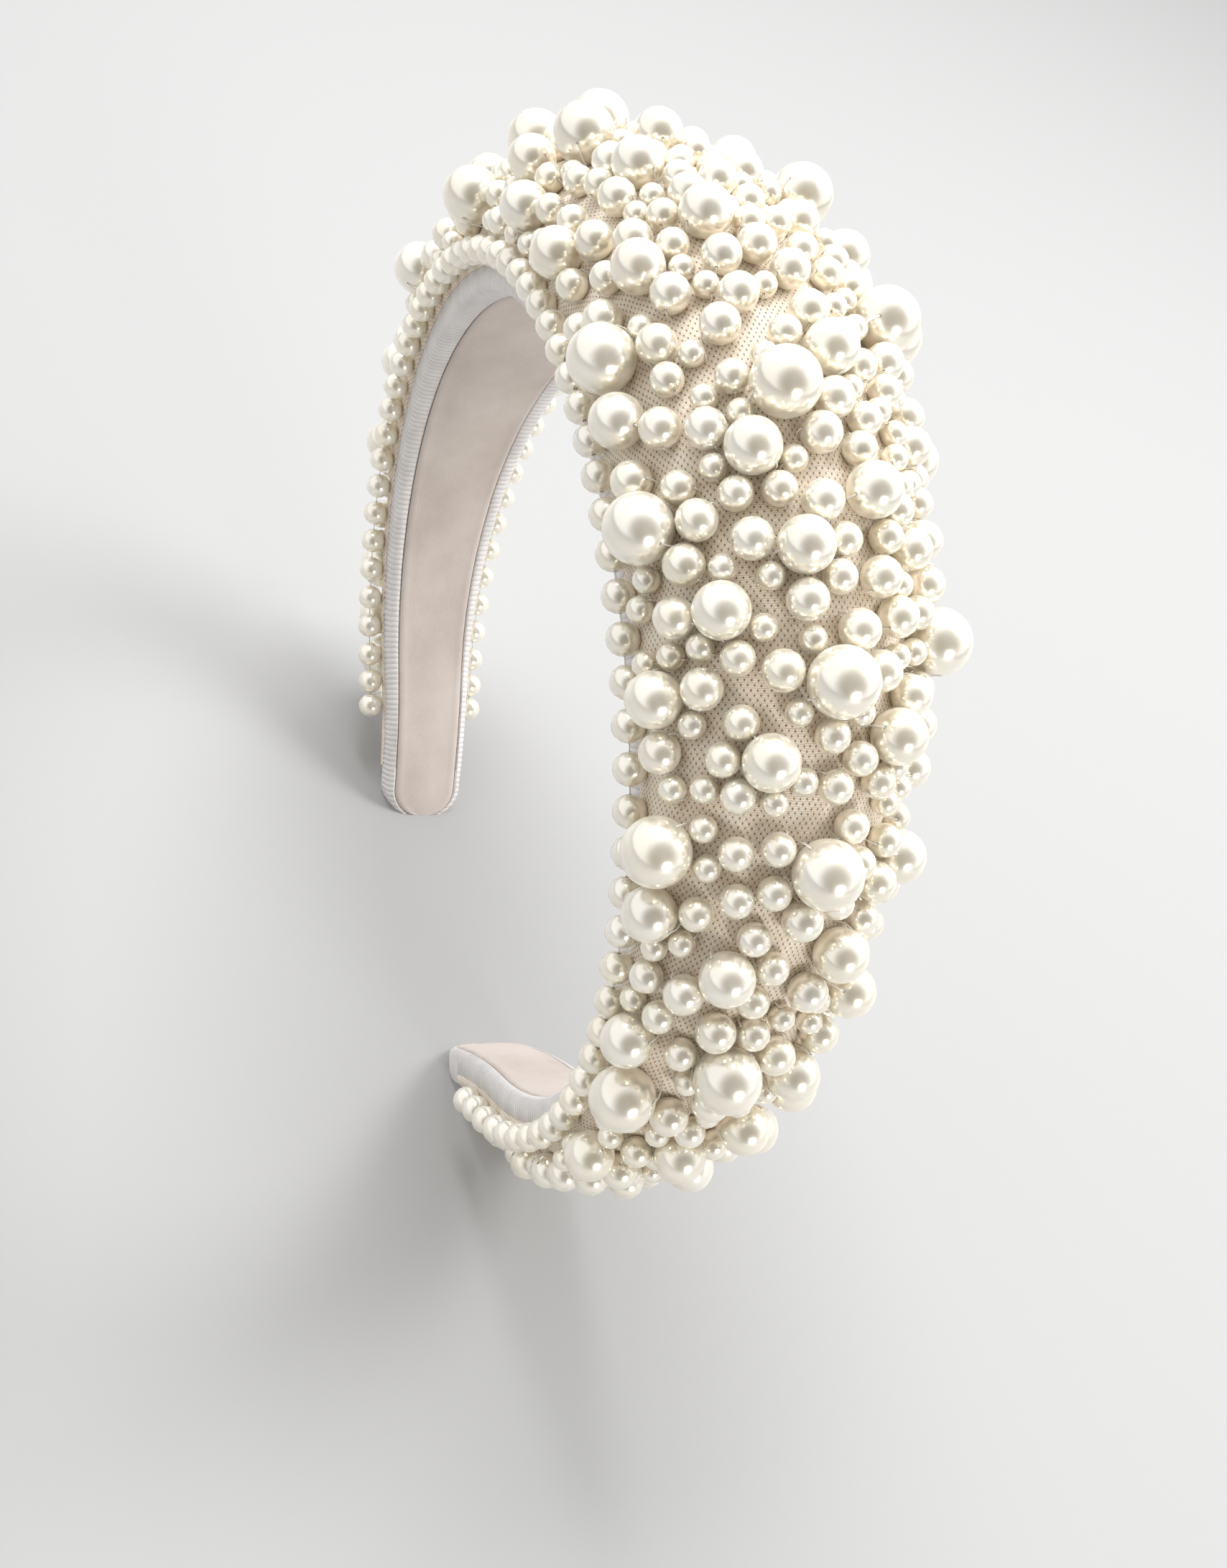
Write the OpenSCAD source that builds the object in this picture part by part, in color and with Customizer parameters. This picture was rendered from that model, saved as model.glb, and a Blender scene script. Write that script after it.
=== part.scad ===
// Padded headband covered in pearls, standing on its two tips.
// The arch lies in the XZ plane and the band's width runs along Y.
// Along the band, s is the distance from the middle of the crown on the inner face (negative to
// the left), y is the distance across, and n is the height above the inner face.

/* [Arch] */
// Radius of the crown arc, on the inner face
crown_r = 73; // [70:1:76]
// Angle of the crown arc, from the middle of the crown
crown_angle = 68; // [65:1:70]
// Radius of the shoulder arcs, where the band is widest
shoulder_r = 60; // [58:1:63]
// Angle of each shoulder arc
shoulder_angle = 73; // [71:1:75]
// Radius of the outward flare near each tip
flare_r = 106; // [100:1:115]
// Angle of each flare
flare_angle = 16; // [14:1:18]
// Straight length at the end of each arm
tail = 1.2; // [1:0.1:3]

/* [Band section] */
// Fabric width in the middle of the crown
crown_w = 44; // [42:1:46]
// Fabric width at the tips
tip_w = 16.4; // [16:0.1:18]
// Height of the padding in the middle of the crown
crown_h = 28; // [26:1:29]
// Height of the band at the tips
tip_h = 8.3; // [8:0.1:9]
// Height of the upright side, under the edge pearls
side_h = 4.5; // [4.2:0.1:5]
// How soon the band narrows away from the crown
taper = 0.91; // [0.88:0.01:0.95]

/* [Layers] */
// Lining width in the middle of the crown
crown_lining_w = 31; // [29:1:32]
// Lining width at the tips
tip_lining_w = 13; // [12.5:0.1:13.2]
// Thickness of the lining ribbon
lining_t = 0.8; // [0.6:0.1:0.8]
// Thickness of the adhesive tape
tape_t = 0.13; // [0.1:0.01:0.14]
// Thickness of the springy core band
core_t = 1.8; // [1.5:0.1:1.8]
// Thickness of the outer cover fabric
cover_t = 0.6; // [0.4:0.1:0.6]
// Thickness of the hem that is turned round each edge
hem_t = 0.7; // [0.6:0.05:0.7]
// Length of the lining that is wrapped over each tip
wrap_length = 10; // [9:0.5:11]

/* [Pearls] */
// Diameter of the pearls along both edges
edge_d = 5; // [4:0.5:5]
// Spacing of the edge pearls, on the inner face
edge_pitch = 5.5; // [5.4:0.05:5.6]
// Least gap between two pearls
pearl_gap = 0.2; // [0.2:0.05:0.6]
// Bore through a pearl
bore_d = 0.45; // [0.4:0.05:0.5]
// Bore through an edge pearl
edge_bore_d = 0.6; // [0.5:0.05:0.8]
// Diameter of the sewing thread
thread_d = 0.24; // [0.2:0.02:0.28]
// Length without pearls at each tip
bare_tip = 22; // [20:1:26]
// Seed that scatters the small pearls
seed = 11; // [1:1:40]

/* [Opening] */
// Place along the band where each arm flexes
hinge_s = 63.25; // [63.25:5.5:68.75]
// Gap between the crown and each arm
joint_gap = 0.3; // [0.2:0.05:0.4]

/* [Hidden] */

BODIES = ["crown", "left", "right"];
SIDES = [["front", -1], ["back", 1]];
SIZES = [10, 8, 6, 5, 4];

deg = 180 / PI;
crown_s = crown_r * crown_angle / deg;
shoulder_s = shoulder_r * shoulder_angle / deg;
flare_s = flare_r * flare_angle / deg;
half_s = crown_s + shoulder_s + flare_s + tail;
widest_angle = crown_angle + shoulder_angle;
layer_end = half_s - wrap_length;
pearl_end = half_s - bare_tip;
fit = 0.05;
edge_n = side_h + 2.1;
pearl_fn = 32;

// Large pearls that set the pattern: [place along the band, angle round the padding, diameter].
FEATURES = [
    [11, -69, 10], [33, -68, 10], [50, -2, 10], [21, -15, 10], [69, -64, 10], [69, 2, 10],
    [95, -13, 10], [103, -55, 10], [44, 62, 10], [8, 40, 10], [90, 66, 10], [-12, 69, 10],
    [-38, -18, 10], [-48, 50, 10], [-50, -67, 10], [-72, 10, 10], [-84, -58, 10], [-97, 22, 10],
    [-114, -20, 10], [20, 71, 8], [-30, 30, 8], [127, 40, 8],
    [27, -28, 8], [37, -14, 8], [43, -43, 8], [52, -69, 8], [58, -25, 8], [77, -66, 8],
    [82, -28, 8], [79, 23, 8], [95, -64, 8], [97, 31, 8], [-11, -71, 8], [2, -49, 8],
    [19, -71, 8], [69, 57, 8], [86, 48, 8], [113, -6, 8], [120, -52, 8], [124, -26, 8],
    [107, 22, 8], [31, 13, 8], [55, 28, 8], [-16, -31, 8], [-3, -21, 8], [-27, -69, 8],
    [16, 5, 8], [2, -8, 6], [43, 26, 6], [-12, -44, 6], [9, -21, 6], [135, -43, 6]
];

function angle_at(u) = (min(u, crown_s) / crown_r + min(max(u - crown_s, 0), shoulder_s) / shoulder_r
    - min(max(u - crown_s - shoulder_s, 0), flare_s) / flare_r) * deg;

// Centre of the inner face at arc length u: three tangent arcs and a short straight.
function arch_point(u) = let (
        a = min(angle_at(u), crown_angle),
        b = crown_angle + min(max(u - crown_s, 0), shoulder_s) / shoulder_r * deg,
        c = widest_angle - min(max(u - crown_s - shoulder_s, 0), flare_s) / flare_r * deg,
        rest = max(u - crown_s - shoulder_s - flare_s, 0)
    ) [
        crown_r * sin(u < crown_s ? a : crown_angle) + shoulder_r * (sin(b) - sin(crown_angle))
            + flare_r * (sin(widest_angle) - sin(c)) + rest * cos(c),
        crown_r * (cos(u < crown_s ? a : crown_angle) - 1) + shoulder_r * (cos(b) - cos(crown_angle))
            + flare_r * (cos(widest_angle) - cos(c)) - rest * sin(c)
    ];

arch_height = -arch_point(half_s)[1];

function at(s, y, n) = let (u = abs(s), p = arch_point(u), a = angle_at(u), k = s < 0 ? -1 : 1)
    [k * (p[0] + n * sin(a)), y, p[1] + arch_height + n * cos(a)];

function swell(s) = pow(cos(90 * pow(min(abs(s) / half_s, 1), taper)), 2);
function half_w(s) = (tip_w + (crown_w - tip_w) * swell(s)) / 2;
function height(s) = tip_h + (crown_h - tip_h) * swell(s);
function half_lining(s) = (tip_lining_w + (crown_lining_w - tip_lining_w) * swell(s)) / 2;

// Outer surface of the cover, drawn in by t, at angle a from the top of the padding.
function dome(s, a, t = 0) = [
    (half_w(s) - t) * sin(a),
    side_h + (height(s) - t - side_h) * pow(max(cos(a), 0), 0.8)
];

// Each body's stretch of the band.
function start(body) = body == "crown" ? -hinge_s + joint_gap / 2
    : body == "left" ? -layer_end : hinge_s + joint_gap / 2;
function finish(body) = body == "crown" ? hinge_s - joint_gap / 2
    : body == "left" ? -hinge_s - joint_gap / 2 : layer_end;
function stations(from, to, step = 5) = let (count = ceil((to - from) / step))
    [for (i = [0 : count]) from + (to - from) * i / count];

// A closed solid through rings of points, all with the same number of points. The ends of a
// thin shell are closed by a strip between its outer and inner points.
module skin(rings, shell = false) {
    m = len(rings[0]);
    last = len(rings) - 1;
    far = last * m;
    points = [for (ring = rings) each ring];
    sides = [for (i = [0 : last - 1], j = [0 : m - 1]) let (k = (j + 1) % m, p = i * m, q = p + m)
        each [[p + j, p + k, q + j], [p + k, q + k, q + j]]];
    ends = shell
        ? [for (j = [0 : m / 2 - 2]) let (k = m - 1 - j) each [
            [j, k, j + 1], [j + 1, k, k - 1],
            [far + j, far + j + 1, far + k], [far + j + 1, far + k - 1, far + k]]]
        : [[for (j = [m - 1 : -1 : 0]) j], [for (j = [0 : m - 1]) far + j]];
    polyhedron(points, concat(sides, ends), convexity = 6);
}

function ring(s, section) = [for (p = section) at(s, p[0], p[1])];

function strip(half, low, high) = [[-half, low], [-half, high], [half, high], [half, low]];

core_n = lining_t + tape_t + 0.04;
pad_n = core_n + core_t + fit;

module core_band(body)
    color("ivory") skin([for (s = stations(start(body), finish(body)))
        ring(s, strip(half_lining(s) - 1.5, core_n, core_n + core_t))]);

module lining(body)
    color("mistyrose") skin([for (s = stations(start(body), finish(body)))
        ring(s, strip(half_lining(s), 0, lining_t))]);

module lining_tape(body)
    color("white") skin([for (s = stations(start(body), finish(body)))
        ring(s, strip(half_lining(s) - 1.5, lining_t + 0.02, lining_t + 0.02 + tape_t))]);

// The foam sits over the core band, with a shoulder down each side of it.
function pad_section(s) = let (w = half_w(s), c = half_lining(s) - 1.4, low = lining_t + fit) concat(
    [for (a = [-90 : 9 : 90]) dome(s, a, cover_t + fit)],
    [[w - hem_t - fit, side_h - 0.15], [w - hem_t - fit, 1.85], [w - 1.36, low], [c, low], [c, pad_n],
     [-c, pad_n], [-c, low], [1.36 - w, low], [hem_t + fit - w, 1.85], [hem_t + fit - w, side_h - 0.15]]);

module foam_pad(body)
    color("khaki") skin([for (s = stations(start(body), finish(body))) ring(s, pad_section(s))]);

module cover(body)
    color("antiquewhite") skin([for (s = stations(start(body), finish(body))) ring(s, concat(
        [for (a = [-90 : 9 : 90]) dome(s, a)], [for (a = [90 : -9 : -90]) dome(s, a, cover_t)]))], shell = true);

// The cover's hem, turned round the lower edge of the side and in under the lining.
function hem_section(s) = let (w = half_w(s), b = half_lining(s) + 0.15, top = side_h - 0.1)
    [[b, 0.1], [b, lining_t], [w - 1.3, lining_t], [w - hem_t, 1.8], [w - hem_t, top],
     [w, top], [w, 1.6], [w - 0.3, 0.6], [w - 1.2, 0.1]];

function mirrored(points, side) = side > 0 ? points
    : [for (i = [len(points) - 1 : -1 : 0]) [-points[i][0], points[i][1]]];

module hem(body, side)
    color("lightgray") skin([for (s = stations(start(body), finish(body)))
        ring(s, mirrored(hem_section(s), side))]);

// The end of the lining, folded over the tip and cut flat where it stands.
module tip_wrap(side) {
    from = layer_end + fit;
    to = half_s + 1;
    round_s = 7;
    foot_step = 3; // long facets give the foot a few firm corners
    rings = [for (s = stations(from, to, foot_step)) let (
            past = max(s - (to - round_s), 0) / (round_s + 0.4),
            k = sqrt(1 - pow(past, 2)),
            w = half_w(s) * k)
        ring(side * s, concat(
            [[-w + k, 0], [-w, 1], [-w, side_h]],
            [for (a = [-60 : 30 : 60]) [w * sin(a), side_h + (height(s) - side_h) * pow(cos(a), 0.8) * sqrt(k)]],
            [[w, side_h], [w, 1], [w - k, 0]]))];
    foot = [8.6, 9]; // flat part of the foot, with a soft bevel all round it
    bevel = 2.6 / 0.9;
    reach = 50;
    color("mistyrose") intersection() {
        skin(side > 0 ? rings : [for (i = [len(rings) - 1 : -1 : 0]) rings[i]]);
        translate([side * 34.2, 0, 0])
            linear_extrude(reach, scale = [for (f = foot) 1 + 2 * reach * bevel / f]) square(foot, center = true);
    }
}

// Edge pearls: a row along each side, strung on one thread.
function edge_place(i) = i * edge_pitch;
function edge_centre(i, side) = let (s = edge_place(i))
    at(s, side * (half_w(s) + edge_d / 2 + fit), edge_n);
function edge_direction(i, side) = let (d = edge_centre(i + 1, side) - edge_centre(i - 1, side)) d / norm(d);
function edge_range(body) = let (
        inner = ceil(hinge_s / edge_pitch),
        outer = floor(pearl_end / edge_pitch))
    body == "crown" ? [for (i = [1 - inner : inner - 1]) i]
        : body == "left" ? [for (i = [-outer : -inner]) i] : [for (i = [inner : outer]) i];

module along(direction)
    rotate([0, acos(direction[2]), atan2(direction[1], direction[0])]) children();

module pearl(r, hole, direction) along(direction) difference() {
    sphere(r, $fn = pearl_fn);
    cylinder(h = 2 * r + 1, d = hole, center = true, $fn = 16);
}

module edge_pearls(body, side)
    color("ivory") for (i = edge_range(body))
        translate(edge_centre(i, side)) pearl(edge_d / 2, edge_bore_d, edge_direction(i, side));

// A round thread through a row of points, with a ring of six at each.
function thread_ring(p, direction) = let (
        u = cross(direction, [0, 1, 0]) / norm(cross(direction, [0, 1, 0])),
        v = cross(direction, u))
    [for (a = [300 : -60 : 0]) p + thread_d / 2 * (cos(a) * u + sin(a) * v)];

module edge_thread(body, side) {
    places = edge_range(body);
    first = places[0];
    last = places[len(places) - 1];
    end = edge_d / 2 + 0.2;
    color("white") skin(concat(
        [thread_ring(edge_centre(first, side) - end * edge_direction(first, side), edge_direction(first, side))],
        [for (i = places) thread_ring(edge_centre(i, side), edge_direction(i, side))],
        [thread_ring(edge_centre(last, side) + end * edge_direction(last, side), edge_direction(last, side))]));
}

// Outward direction of the cover at (s, a).
function dome_normal(s, a) = let (
        w = half_w(s), rise = height(s) - side_h, c = max(cos(a), 0.02),
        along_y = w * c, along_n = -0.8 * rise * pow(c, -0.2) * sin(a),
        size = norm([along_y, along_n]),
        t = angle_at(abs(s)), k = s < 0 ? -1 : 1)
    [k * along_y / size * sin(t), -along_n / size, along_y / size * cos(t)];

// A pearl on the cover: [centre, radius, s, a].
function seated(s, a, d) = let (p = dome(s, a))
    [at(s, p[0], p[1]) + (d / 2 + fit) * dome_normal(s, a), d / 2, s, a];

// A pearl may stand near a flexing line, but not right on it.
function off_hinge(p) = abs(abs(p[2]) - hinge_s) > 0.45 * p[1];

// A pearl on the far side of a flexing line keeps twice the gap or more.
function gap_to(p, q, wide) = pearl_gap + (abs(p[2]) > hinge_s != abs(q[2]) > hinge_s ? wide : 0);
function clear_of_edges(p) = let (side = p[3] < 0 ? -1 : 1, i = round(p[2] / edge_pitch))
    len([for (j = [i - 1 : i + 1]) if (norm(p[0] - edge_centre(j, side)) < p[1] + edge_d / 2 + pearl_gap) j]) == 0;
function free(p, kept) = off_hinge(p) && clear_of_edges(p)
    && len([for (q = kept) if (abs(p[2] - q[2]) < 12 && norm(p[0] - q[0]) < p[1] + q[1] + gap_to(p, q, 0.9)) 1]) == 0;
// Keep each of the wanted pearls that is free.
function keep_free(wanted, i, kept) = i == len(wanted) ? kept
    : keep_free(wanted, i + 1, free(wanted[i], kept) ? concat(kept, [wanted[i]]) : kept);

function random_pearls(from, to, d, count, key) = let (
        along_s = rands(from, to, count, seed * 100 + key),
        round_a = rands(-80, 80, count, seed * 100 + key + 50))
    [for (i = [0 : count - 1]) seated(along_s[i], round_a[i], d)];

// Large pearls are set by hand towards the front and right, and scattered elsewhere.
function behind(pearls) = [for (p = pearls) if (p[2] < -24 || p[3] > 36) p];

// A pearl that just misses p, in the direction turn across the cover. The step is corrected
// by the distance that it really gave.
function beside(p, d, turn) = let (
        reach = p[1] + d / 2 + pearl_gap + 0.03,
        ds = reach * cos(turn) * 0.8,
        da = reach * sin(turn) * 3,
        k1 = reach / norm(seated(p[2] + ds, p[3] + da, d)[0] - p[0]),
        k2 = k1 * reach / norm(seated(p[2] + ds * k1, p[3] + da * k1, d)[0] - p[0]),
        k3 = k2 * reach / norm(seated(p[2] + ds * k2, p[3] + da * k2, d)[0] - p[0]))
    seated(p[2] + ds * k3, p[3] + da * k3, d);

// The first of these sizes that fits beside p, as a list of one pearl or none.
function fitting(p, turn, sizes, low, high, kept) = len(sizes) == 0 ? []
    : let (q = beside(p, sizes[0], turn))
        q[2] > low && q[2] < high && abs(q[3]) < 80 && free(q, kept) ? [q]
        : fitting(p, turn, [for (i = [1 : 1 : len(sizes) - 1]) sizes[i]], low, high, kept);

function surround(p, j, start_turn, picks, low, high, kept) = j == len(picks) ? kept
    : surround(p, j + 1, start_turn, picks, low, high, concat(kept, fitting(p, start_turn + j * 360 / len(picks),
        picks[j] < 0.5 ? [6, 5, 4] : picks[j] < 0.85 ? [5, 4] : [4], low, high, kept)));

// Fill the cover outward from the pearls already kept, one pearl after another.
function grow(i, low, high, kept) = i >= len(kept) ? kept
    : let (picks = rands(0, 1, 8, seed * 1000 + i))
        grow(i + 1, low, high, surround(kept[i], 0, 360 * picks[7], [for (j = [0 : 6]) picks[j]], low, high, kept));

function layout(body) = let (
        crown = body == "crown",
        low = crown ? -hinge_s : body == "left" ? -pearl_end : hinge_s,
        high = crown ? hinge_s : body == "left" ? -hinge_s : pearl_end,
        others = crown ? [] : [for (p = layout("crown")) if (abs(p[2]) > hinge_s - 16) p],
        set = keep_free([for (f = FEATURES) if (f[0] > low && f[0] < high) seated(f[0], f[1], f[2])], 0, others),
        tens = keep_free(behind(random_pearls(low, high, 10, 24, 1)), 0, set),
        eights = keep_free(behind(random_pearls(low, high, 8, 40, 2)), 0, tens),
        grown = grow(0, low, high, eights),
        fives = keep_free(random_pearls(low, high, 5, 300, 5), 0, grown),
        fours = keep_free(random_pearls(low, high, 4, 900, 7), 0, fives))
    [for (p = fours) if (p[2] > low && p[2] < high) p];

// Each bore lies flat against the cover, turned a different way on every pearl.
function bore_direction(p) = let (
        normal = dome_normal(p[2], p[3]),
        t = cross(normal, [0, 1, 0.001]),
        u = t / norm(t),
        v = cross(normal, u),
        a = 137.5 * (p[2] + p[3]))
    u * cos(a) + v * sin(a);

module field_pearls(body, d)
    color("linen") for (p = layout(body)) if (p[1] == d / 2)
        translate(p[0]) pearl(p[1], bore_d, bore_direction(p));

module pearl_stitches(body)
    color("white") for (p = layout(body))
        translate(p[0]) along(bore_direction(p))
            cylinder(h = 2 * p[1] + 0.1, d = thread_d, center = true, $fn = 16);

for (body = BODIES) {
    core_band(body);
    foam_pad(body);
    cover(body);
    lining(body);
    lining_tape(body);
    pearl_stitches(body);
    for (side = SIDES) {
        hem(body, side[1]);
        edge_pearls(body, side[1]);
        edge_thread(body, side[1]);
    }
    for (d = SIZES)
        field_pearls(body, d);
}
tip_wrap(-1);  // left_tip_wrap
tip_wrap(1);  // right_tip_wrap
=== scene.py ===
import math
import random

import bpy
import numpy as np
from mathutils import Matrix, Quaternion, Vector
from mathutils.bvhtree import BVHTree


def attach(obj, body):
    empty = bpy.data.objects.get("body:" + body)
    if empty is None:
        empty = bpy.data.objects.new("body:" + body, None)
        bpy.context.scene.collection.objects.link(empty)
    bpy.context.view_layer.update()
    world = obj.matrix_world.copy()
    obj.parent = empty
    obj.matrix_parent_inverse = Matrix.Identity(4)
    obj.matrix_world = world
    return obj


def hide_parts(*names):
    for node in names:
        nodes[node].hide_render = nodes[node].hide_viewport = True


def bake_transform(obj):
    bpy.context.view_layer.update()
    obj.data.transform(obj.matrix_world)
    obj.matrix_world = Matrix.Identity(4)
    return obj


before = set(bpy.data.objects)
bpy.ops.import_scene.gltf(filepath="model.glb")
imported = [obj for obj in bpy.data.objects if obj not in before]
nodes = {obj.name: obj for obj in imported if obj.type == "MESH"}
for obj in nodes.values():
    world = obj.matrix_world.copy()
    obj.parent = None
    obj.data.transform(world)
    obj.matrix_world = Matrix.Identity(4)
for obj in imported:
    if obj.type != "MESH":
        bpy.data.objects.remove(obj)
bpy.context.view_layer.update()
scene = bpy.context.scene
mm = 0.001
print("headband: frame loaded,", len(nodes), "nodes")


# camera, looking down on the right arm from the front
cameraSettings = {"place": (0.2081, -0.1302, 0.2908), "lookAt": (0.02843, 0.0, 0.08441), "roll": 27.7,
                  "lens": 42.02, "film": 36, "shift": (-0.0076, -0.0129), "clip": (0.01, 20)}


def addCamera(settings):
    data = bpy.data.cameras.new("viewCamera")
    data.sensor_width, data.lens = settings["film"], settings["lens"]
    data.shift_x, data.shift_y = settings["shift"]
    data.clip_start, data.clip_end = settings["clip"]
    camera = bpy.data.objects.new("viewCamera", data)
    scene.collection.objects.link(camera)
    aim = Vector(settings["lookAt"]) - Vector(settings["place"])
    camera.location = settings["place"]
    camera.rotation_mode = "QUATERNION"
    level = aim.to_track_quat("-Z", "Y")
    camera.rotation_quaternion = level @ Quaternion((0, 0, 1), math.radians(settings["roll"]))
    scene.camera = camera


addCamera(cameraSettings)


# the band's own measures, in mm, as the CAD has them
archSize = {"crownRadius": 73, "crownTurn": 68, "shoulderRadius": 60, "shoulderTurn": 73,
            "flareRadius": 106, "flareTurn": 16, "tail": 1.2}
bandSize = {"crownWidth": 44, "tipWidth": 16.4, "crownHeight": 28, "tipHeight": 8.3, "sideHeight": 4.5,
            "taper": 0.91, "domePower": 0.8, "crownLining": 31, "tipLining": 13, "wrapLength": 10}

crownRadius, shoulderRadius = archSize["crownRadius"], archSize["shoulderRadius"]
flareRadius = archSize["flareRadius"]
crownTurn = math.radians(archSize["crownTurn"])
widestTurn = crownTurn + math.radians(archSize["shoulderTurn"])
crownLength = crownRadius * crownTurn
shoulderEnd = crownLength + shoulderRadius * (widestTurn - crownTurn)
flareEnd = shoulderEnd + flareRadius * math.radians(archSize["flareTurn"])
halfLength = flareEnd + archSize["tail"]
layerEnd = halfLength - bandSize["wrapLength"]
sideHeight = bandSize["sideHeight"]


def turnAt(u):  # how far the band has turned at arc length u
    return (np.minimum(u, crownLength) / crownRadius
            + np.clip(u - crownLength, 0, shoulderEnd - crownLength) / shoulderRadius
            - np.clip(u - shoulderEnd, 0, flareEnd - shoulderEnd) / flareRadius)


def archPoint(u):  # inner face, from the middle of the crown
    a = np.minimum(u, crownLength) / crownRadius
    b = crownTurn + np.clip(u - crownLength, 0, shoulderEnd - crownLength) / shoulderRadius
    c = widestTurn - np.clip(u - shoulderEnd, 0, flareEnd - shoulderEnd) / flareRadius
    rest = np.maximum(u - flareEnd, 0)
    x = (crownRadius * np.sin(a) + shoulderRadius * (np.sin(b) - math.sin(crownTurn))
         + flareRadius * (math.sin(widestTurn) - np.sin(c)) + rest * np.cos(c))
    z = (crownRadius * (np.cos(a) - 1) + shoulderRadius * (np.cos(b) - math.cos(crownTurn))
         + flareRadius * (math.cos(widestTurn) - np.cos(c)) - rest * np.sin(c))
    return x, z


archHeight = -float(archPoint(np.array([halfLength]))[1][0])


def bandPoint(s, y, n):  # along the band, across it and out from the inner face, in mm; gives metres
    s, y, n = (np.asarray(v, float) for v in (s, y, n))
    x, z = archPoint(np.abs(s))
    turn, sign = turnAt(np.abs(s)), np.where(s < 0, -1.0, 1.0)
    places = [sign * (x + n * np.sin(turn)), y + 0 * x, z + archHeight + n * np.cos(turn)]
    return np.stack(places, axis=-1) * mm


def swell(s):  # 1 in the middle of the crown, 0 at the tips
    share = np.minimum(np.abs(s) / halfLength, 1) ** bandSize["taper"]
    return np.cos(math.pi / 2 * share) ** 2


def between(tip, crown, s):
    return tip + (crown - tip) * swell(s)


def halfWidth(s):
    return between(bandSize["tipWidth"], bandSize["crownWidth"], s) / 2


def halfLining(s):
    return between(bandSize["tipLining"], bandSize["crownLining"], s) / 2


def bandHeight(s):
    return between(bandSize["tipHeight"], bandSize["crownHeight"], s)


def domeAt(s, a, inset=0.0):  # the padding's outer curve, a from -90 to 90 degrees in radians
    rise = bandHeight(s) - inset - sideHeight
    return (halfWidth(s) - inset) * np.sin(a), sideHeight + rise * np.maximum(np.cos(a), 0) ** bandSize["domePower"]


# mesh helpers
def triples(items, attribute):
    flat = np.zeros(len(items) * 3)
    items.foreach_get(attribute, flat)
    return flat.reshape(-1, 3)


def points(piece):
    return triples(piece.data.vertices, "co")


def outwardNormals(piece):
    return triples(piece.data.vertices, "normal")


def movePoints(piece, places):
    piece.data.vertices.foreach_set("co", np.asarray(places, float).ravel())
    piece.data.update()


def onlySelect(*pieces):
    if bpy.context.mode != "OBJECT":
        bpy.ops.object.mode_set(mode="OBJECT")
    bpy.ops.object.select_all(action="DESELECT")
    for piece in pieces:
        piece.select_set(True)
    bpy.context.view_layer.objects.active = pieces[0]


def editAll(piece):
    onlySelect(piece)
    bpy.ops.object.mode_set(mode="EDIT")
    bpy.ops.mesh.select_all(action="SELECT")


def leaveEdit():
    bpy.ops.object.mode_set(mode="OBJECT")


def gridPiece(name, across, along, place):  # place turns two shares, across and along, into points and flat cloth
    bpy.ops.object.select_all(action="DESELECT")
    bpy.ops.mesh.primitive_grid_add(x_subdivisions=across, y_subdivisions=along, size=2)
    piece = bpy.context.object
    piece.name = piece.data.name = name
    grid = points(piece)
    places, flat = place((grid[:, 0] + 1) / 2, (grid[:, 1] + 1) / 2)
    movePoints(piece, places)
    corners = np.zeros(len(piece.data.loops), np.int32)
    piece.data.loops.foreach_get("vertex_index", corners)
    piece.data.uv_layers.active.data.foreach_set("uv", flat[corners].astype(np.float32).ravel())
    return piece


def closeEnds(piece):
    editAll(piece)
    bpy.ops.mesh.remove_doubles(threshold=0.00001)
    bpy.ops.mesh.select_all(action="DESELECT")
    bpy.ops.mesh.select_mode(type="EDGE")
    bpy.ops.mesh.select_non_manifold()
    bpy.ops.mesh.fill_holes(sides=0)
    bpy.ops.mesh.select_all(action="SELECT")
    bpy.ops.mesh.normals_make_consistent(inside=False)
    leaveEdit()


def smooth(piece, angle=40):
    onlySelect(piece)
    bpy.ops.object.shade_smooth_by_angle(angle=math.radians(angle))


def addModifier(piece, kind, **values):
    modifier = piece.modifiers.new(kind.lower(), kind)
    for key, value in values.items():
        setattr(modifier, key, value)
    onlySelect(piece)
    bpy.ops.object.modifier_apply(modifier=modifier.name)


def loftedPiece(name, side, start, end, along, perEdge, outline, adjust=None):  # one closed outline swept along
    count = len(outline(np.array([start])))

    def place(u, v):
        s = start + (end - start) * v
        ring = outline(s)
        step = u * count
        low = np.minimum(np.floor(step + 1e-6).astype(int), count - 1)
        share = np.clip(step - low, 0, 1)
        ys = np.stack([p[0] + 0 * s for p in ring], axis=1)
        ns = np.stack([p[1] + 0 * s for p in ring], axis=1)
        rows = np.arange(len(s))
        after = (low + 1) % count
        y = ys[rows, low] * (1 - share) + ys[rows, after] * share
        n = ns[rows, low] * (1 - share) + ns[rows, after] * share
        if adjust:
            y, n = adjust(s, y, n)
        return bandPoint(side * s, y, n), np.stack([step, s], axis=1) * mm

    piece = gridPiece(name, count * perEdge, along, place)
    closeEnds(piece)
    return piece


# shared material effects
def nodeGroup(name, inputs, outputs):
    group = bpy.data.node_groups.new(name, "ShaderNodeTree")
    for title, kind, value in inputs:
        socket = group.interface.new_socket(name=title, in_out="INPUT", socket_type=kind)
        if value is not None:
            socket.default_value = value
    for title, kind in outputs:
        group.interface.new_socket(name=title, in_out="OUTPUT", socket_type=kind)
    return group, group.nodes.new("NodeGroupInput"), group.nodes.new("NodeGroupOutput")


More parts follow.
